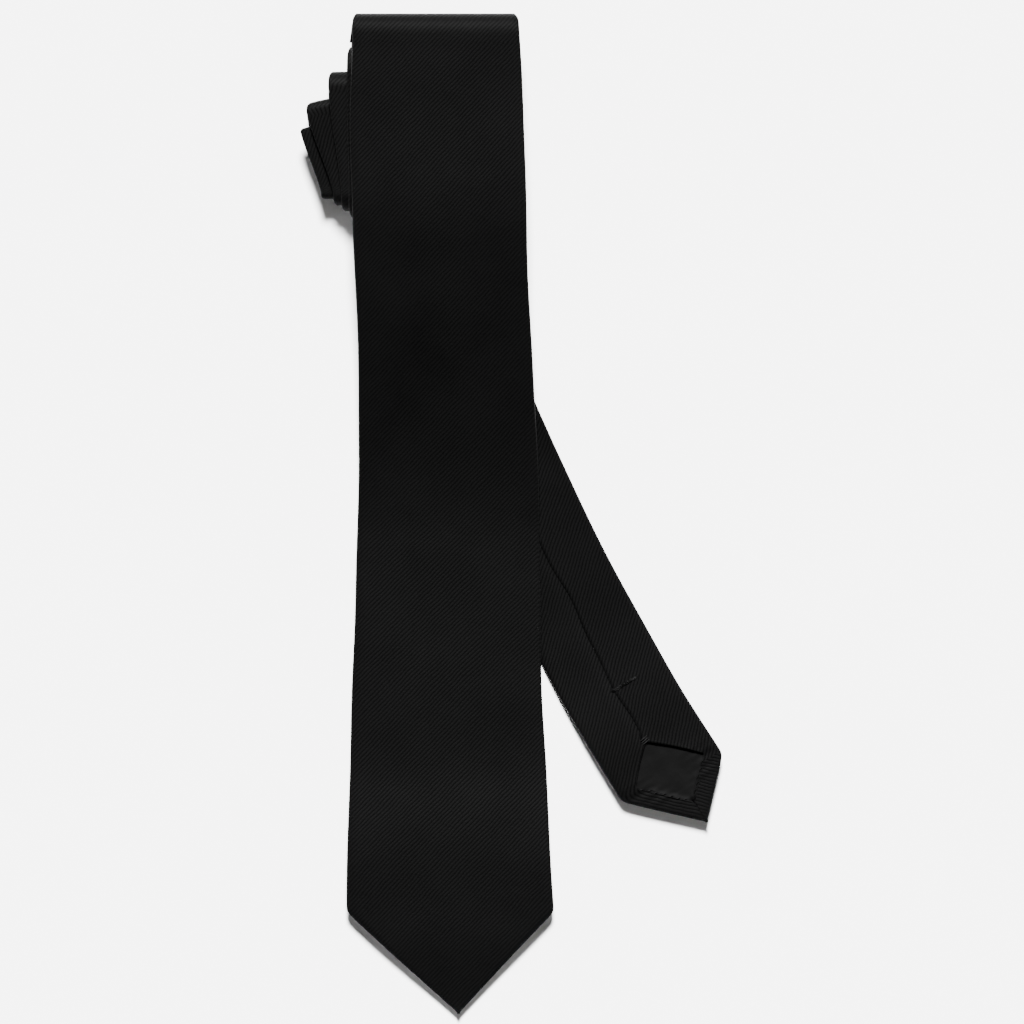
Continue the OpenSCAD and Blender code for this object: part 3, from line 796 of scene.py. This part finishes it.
def ribbon_label():
    """A blank woven ribbon."""
    m, t, shader = new_material("label_ribbon", Roughness=0.6, Specular_IOR_Level=0.05)
    vector, _, v = cloth_uv(t)
    weft = wave_node(t, v, 0.3)
    shade = maths(t, "ADD", maths(t, "MULTIPLY", weft, 0.2), noise(t, vector, 1.2))
    finish_with(t, shader, ramp(t, shade, (0.2, 0.002), (0.9, 0.008)), weft, 0.00005)
    return m


def paper():
    """The plain white surface that the tie lies on."""
    m, t, shader = new_material("white_surface", Roughness=0.9, Specular_IOR_Level=0.1)
    place = add(t, "ShaderNodeNewGeometry").outputs["Position"]
    grain = noise(t, place, 900.0, 2.0)
    finish_with(t, shader, ramp(t, grain, (0.0, 0.88), (1.0, 0.92)), grain, 0.00001, 0.3)
    return m


MAT = {
    "tie_cloth": twill(),
    "tipping_satin": satin(),
    "interlining_wool": wool(),
    "sewing_thread": thread("black_thread", 0.0001, 0.0012),
    "tack_thread": thread("tack_thread", 0.004, 0.012),
    "label_ribbon": ribbon_label(),
}


def dressed(obj, slot, *nodes):
    """Gives a piece its material and slot, and hides the CAD nodes it stands for."""
    obj.data.materials.append(MAT[slot])
    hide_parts(*nodes)
    return obj


lift = spot(tail, tail.d, [LIFT_D + 8, LIFT_D - 8], 0, FREE_T / 2) * MM


def goes_with_blade(obj):
    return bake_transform(obj)


def goes_with_tail(obj):
    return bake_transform(obj)


def goes_with_lift(obj):
    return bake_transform(obj)


def goes_with(body):
    return lambda obj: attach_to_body(obj, body)


blade_skin = dict(over=-1, ends=openings(blade_free, **BLADE_BACK), hem=BLADE_HEM, point=BLADE_POINT,
                  raised=raised_flaps(blade_free, BLADE_BACK, OPENING_LIFT))
tail_skin = dict(over=1, ends=openings(tail_lower, **TAIL_BACK), hem=(-1.0, 1.0), point=TAIL_POINT,
                 raised=raised_flaps(tail_lower, TAIL_BACK, OPENING_LIFT))
upper_skin = dict(over=1, raised=pressed_on_roll(tail_upper, SEAM_LIFT))
for name, run, skin, node, attach in (
    ("blade_cloth", blade_free, blade_skin, "blade_shell", goes_with_blade),
    ("blade_cloth_rolled", blade_rolled, dict(over=-1), "blade_panel_in_roll", goes_with("rolled_neck")),
    ("neck_piece", gusset, dict(over=-1), "neck_gusset", goes_with("rolled_neck")),
    ("tail_cloth_rolled", tail_rolled, dict(over=1), "tail_panel_in_roll", goes_with("rolled_neck")),
    ("tail_cloth_upper", tail_upper, upper_skin, "tail_shell", goes_with_tail),
    ("tail_cloth_end", tail_lower, tail_skin, "tail_end_shell", goes_with_lift),
):
    obj = dressed(envelope(name, run, **skin), "tie_cloth", node)
    attach(obj)

for name, run, node, attach in (
    ("blade_canvas", blade_free, "blade_interlining", goes_with_blade),
    ("blade_canvas_rolled", blade_rolled, "blade_interlining_in_roll", goes_with("rolled_neck")),
    ("tail_canvas_rolled", tail_rolled, "tail_interlining_in_roll", goes_with("rolled_neck")),
    ("tail_canvas_upper", tail_upper, "tail_interlining", goes_with_tail),
    ("tail_canvas_end", tail_lower, "tail_end_interlining", goes_with_lift),
):
    run = run.cut(run.d > 9)
    half = np.where(run.d < 60, np.minimum(run.h - 1.8, run.d - 7.5), run.h - 1.8)
    share = ease((run.t - ROLLED_T) / (FREE_T - ROLLED_T))
    low = 0.64 + 0.27 * share
    obj = dressed(ribbon(name, run, -half, half, low[:, None], 0.1), "interlining_wool", node)
    attach(obj)


# ---- the satin in the points ----
def tipping(name, run, back, node, attach):
    """The lining inside a point: sewn over the turned hems, and running up under the flaps."""
    corner = min(back["left_corner"][0], back["right_corner"][0])
    run = run.cut((run.d > back["left_hem"] * math.sqrt(2) + 0.3) & (run.d < back["apex"] + 5))
    left, right = openings(run, **back)
    under = 6.5 * ease((run.d - corner + 1) / 3) - 0.9 * (run.d < corner)
    most = run.h - 1.5
    on_hem = 1.8 * (run.d < corner)
    left_end = np.maximum(left - under - on_hem, -most)
    right_end = np.minimum(right + under + on_hem, most)

    def low(a, run):
        near = np.minimum(a - left[:, None], right[:, None] - a)
        over = (1 - ease((near + 0.3) / 1.2)) * (1 - ease((run.d[:, None] - corner + 3) / 3))
        pucker = 0.09 * np.sin(run.d[:, None] * 2.1 + 0.5) * (1 - ease(near / 7))
        crease = 0.16 * np.exp(-((a + 0.1 * run.d[:, None] - 1.5) / 0.6) ** 2)
        return 0.70 - 0.86 * over + pucker - crease

    obj = dressed(ribbon(name, run, left_end, right_end, low, 0.10), "tipping_satin", node)
    attach(obj)


tipping("blade_lining", blade_free, BLADE_BACK, "blade_tipping", goes_with("front_blade"))
tipping("tail_lining", tail_lower, TAIL_BACK, "tail_end_tipping", goes_with("tail_end"))


# ---- threads ----
SLIP_STEP, BITE_EVERY = 0.5, 8.0
SLIP_UP = 0.31                # the slip stitch's height above the back surface, which is between the flaps


def sorted_pair(key, values):
    order = np.argsort(key)
    return key[order], values[order]


def slip_path(run):
    """The long hand stitch along the seam, between the two flaps, which takes a small bite every so often."""
    where = np.arange(run.s.min() + 1, run.s.max() - 1, SLIP_STEP)
    seam = seam_wave(np.interp(where, *sorted_pair(run.s, run.s)))
    half = BITE_EVERY / 2
    bite = np.clip(1 - np.abs((where - where[0] + half) % BITE_EVERY - half) / 2, 0, 1)
    return spot(run, run.s, where, seam - 1.2 - 0.5 * bite, SLIP_UP)


def stitched(name, paths, radius, slot, node, attach):
    attach(dressed(tubes(name, paths, radius), slot, node))


blade_sewn = blade_free.cut(blade_free.d > BLADE_OPENING + 3)      # where the seam is sewn shut
tail_sewn = tail_lower.cut(tail_lower.d > TAIL_OPENING + 3)
for name, run, node, attach in (
    ("blade_seam_stitch", blade_sewn, "blade_slip_stitch", goes_with_blade),
    ("blade_seam_stitch_rolled", blade_rolled, "blade_slip_stitch_in_roll", goes_with("rolled_neck")),
    ("tail_seam_stitch_rolled", tail_rolled, "tail_slip_stitch_in_roll", goes_with("rolled_neck")),
    ("tail_seam_stitch_upper", tail_upper, "tail_slip_stitch", goes_with_tail),
    ("tail_seam_stitch_end", tail_sewn, "tail_end_slip_stitch", goes_with_lift),
):
    stitched(name, [slip_path(run)], 0.12, "sewing_thread", node, attach)


def panel_seam(run, row):
    """Short machine stitches across the tie where two panels meet."""
    h = run.h[row] - 2
    where = np.full(4, run.s[row])
    arch = [0.30, 0.24, 0.24, 0.30]
    return [spot(run, run.s, where, np.linspace(a, a + 1.9, 4), arch) for a in np.arange(-h, h - 2, 2.6)]


for name, seam, node in (
    ("blade_panel_seam", panel_seam(blade_rolled, len(blade_rolled) - 2), "blade_to_gusset_seam"),
    ("tail_panel_seam", panel_seam(tail_rolled, 1), "tail_to_gusset_seam"),
):
    stitched(name, seam, 0.1, "sewing_thread", node, goes_with("rolled_neck"))


def bar_tack(run, d, middle, length):
    """A bar of thread across the flaps' seam: long stitches side by side, bound by short ones."""
    u = np.linspace(-1, 1, 9)
    arch = -0.25 - 0.22 * (1 - u**4)
    paths = [spot(run, run.d, d + off + 0.1 * rng.normal(size=9), middle + u * length / 2, arch - 0.02 * i)
             for i, off in enumerate((-0.34, 0.0, 0.34))]
    for a in np.linspace(-length / 2 + 1.2, length / 2 - 1.2, 7):
        w = np.linspace(-0.75, 0.75, 5)
        paths.append(spot(run, run.d, d + w, middle + a + 0.15 * w, -0.62 + 0.6 * (w / 0.75) ** 4))
    return paths


def apex_tack(run, back, half):
    """A few tight stitches that hold the flaps together where they part."""
    middle = back["seam_at"] + run.u0[np.argmin(run.d)]
    arch = np.array([-0.5, -0.85, -0.95, -0.85, -0.5])
    u = np.linspace(-1, 1, len(arch))
    return [spot(run, run.d, back["apex"] + k + 0.2 * u, middle + half * u, arch) for k in (-0.2, 0.6, 1.4)]


def hem_loops(run, back, step):
    """Small loops that catch the lining to the hem on both sides of a point."""
    paths = []
    left, right = openings(run, **back)
    for side, edge, name in ((-1, left, "left"), (1, right, "right")):
        hem, corner = back[name + "_hem"], back[name + "_corner"]
        for d in np.arange(hem * math.sqrt(2) + 2.5, corner[0] - 1.0, step):
            a = np.interp(d, *sorted_pair(run.d, edge))
            w = np.linspace(0, 1, 7)
            jitter = rng.normal(0, 0.12)
            across, up = a + side * (-0.9 + 1.9 * w), -0.12 - 0.34 * np.sin(np.pi * w)
            paths.append(spot(run, run.d, d + jitter + 0.8 * w - 0.3, across, up))
    return paths


blade_bar = bar_tack(blade_free, BLADE_OPENING + 25, 0.0, 14)
blade_tack = apex_tack(blade_free, BLADE_BACK, 2.0)
blade_loops = hem_loops(blade_free, BLADE_BACK, 3.4)
tail_bar = bar_tack(tail_lower, 58.7, 3.0, 11)
tail_tack = apex_tack(tail_lower, TAIL_BACK, 1.6)
tail_loops = hem_loops(tail_lower, TAIL_BACK, 1.9)
for name, paths, radius, slot, node, body in (
    ("blade_bar", blade_bar, 0.16, "sewing_thread", "blade_bar_tack", "front_blade"),
    ("blade_apex_stitches", blade_tack, 0.14, "tack_thread", "blade_apex_tack", "front_blade"),
    ("blade_lining_stitches", blade_loops, 0.13, "sewing_thread", "blade_tipping_stitches", "front_blade"),
    ("tail_bar", tail_bar, 0.15, "sewing_thread", "tail_bar_tack", "tail_end"),
    ("tail_apex_stitches", tail_tack, 0.13, "tack_thread", "tail_apex_tack", "tail_end"),
    ("tail_lining_stitches", tail_loops, 0.15, "sewing_thread", "tail_tipping_stitches", "tail_end"),
):
    stitched(name, paths, radius, slot, node, goes_with(body))


# ---- the keeper loop and the label on the blade's back ----
def across_blade(d, length, up, n=41):
    """A run across the back of the blade, for a band sewn onto it. up gives its height at -1 to 1 across."""
    a = np.linspace(-length / 2, length / 2, n)
    c = spot(blade_free, blade_free.d, np.full(n, d), a, up(2 * a / length))
    y = TIP_Y + d
    slope = math.atan((blade_mid(y + 1) - blade_mid(y - 1)) / 2)
    e, f = (0.0, math.cos(slope), math.sin(slope)), (0.0, math.sin(slope), -math.cos(slope))
    return Run(c=c, e=np.tile(e, (n, 1)), f=np.tile(f, (n, 1)), h=np.full(n, KEEPER_W / 2),
               s=a + length / 2, d=np.full(n, FAR))


def keeper_up(u):
    """The band stands away from the blade between its sewn ends."""
    return -0.16 - 0.6 * (1 - u**6)


def label_up(u):
    """The label lies on the blade, and rises over its seam."""
    return -0.12 - 0.26 * np.exp(-2 * np.abs(u))


keeper = across_blade(KEEPER_FROM_TIP, KEEPER_L, keeper_up)
band = ribbon("keeper_band", keeper, -KEEPER_W / 2, KEEPER_W / 2, 0.0, 0.45)
obj = dressed(band, "tie_cloth", "keeper_loop")
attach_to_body(obj, "front_blade")

ends = []
for side in (-1, 1):
    for along in np.arange(-4.6, 4.7, 2.3):
        w = np.linspace(0, 1, 5)
        across, up = side * (KEEPER_L / 2 - 1.4 + 2.0 * w), -0.10 - 0.72 * np.sin(np.pi * (0.15 + 0.85 * w))
        ends.append(spot(blade_free, blade_free.d, np.full(5, KEEPER_FROM_TIP + along), across, up))
stitched("keeper_band_stitches", ends, 0.14, "sewing_thread", "keeper_loop_stitches",
         goes_with("front_blade"))

label = across_blade(KEEPER_FROM_TIP - LABEL_FROM_KEEPER, LABEL_L, label_up, n=15)
band = ribbon("blank_label", label, -LABEL_W / 2, LABEL_W / 2, 0.0, 0.16)
obj = dressed(band, "label_ribbon", "care_label")
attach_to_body(obj, "front_blade")

# ---- the surface, the light and the camera ----
REACH = 4.0                   # from the middle of the surface to its sides, in metres
me = bpy.data.meshes.new("surface")
corners = [(-REACH, -REACH, 0), (REACH, -REACH, 0), (REACH, REACH, 0), (-REACH, REACH, 0)]
me.from_pydata(corners, [], [(0, 1, 2, 3)])
me.materials.append(paper())
surface = bpy.data.objects.new("surface", me)
bpy.context.scene.collection.objects.link(surface)
surface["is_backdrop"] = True

world = bpy.data.worlds.new("studio")
bpy.context.scene.world = world
world.use_nodes = True
world.node_tree.nodes["Background"].inputs["Color"].default_value = (1.0, 1.0, 1.0, 1.0)
world.node_tree.nodes["Background"].inputs["Strength"].default_value = 0.05


def sun(name, strength, angle, elevation, azimuth):
    """A distant light. At azimuth 0 it comes from the top of the picture, and at 90 from its left."""
    data = bpy.data.lights.new(name, "SUN")
    data.energy, data.angle = strength, math.radians(angle)
    ob = bpy.data.objects.new(name, data)
    ob.rotation_euler = (math.radians(90 - elevation), 0.0, math.radians(180 + azimuth))
    bpy.context.scene.collection.objects.link(ob)


sun("key_light", strength=30.0, angle=14.0, elevation=49.0, azimuth=0.0)
for name, strength, azimuth in (
    ("left_fill", 3.6, 90.0),
    ("right_fill", 3.6, -90.0),
    ("front_fill", 1.8, 180.0),
):
    sun(name, strength, angle=6.0, elevation=3.5, azimuth=azimuth)

WIDE = 0.3748                 # the width of the picture at the tie's height, in metres
HIGH, AIM_Y = 6.0, 0.0007     # the camera's height and place
SENSOR = 36.0
cam = bpy.data.cameras.new("camera")
cam.sensor_width = SENSOR
cam.lens = SENSOR * HIGH / WIDE
camera = bpy.data.objects.new("camera", cam)
camera.location = (0.0, AIM_Y, HIGH)
bpy.context.scene.collection.objects.link(camera)
bpy.context.scene.camera = camera

low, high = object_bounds()
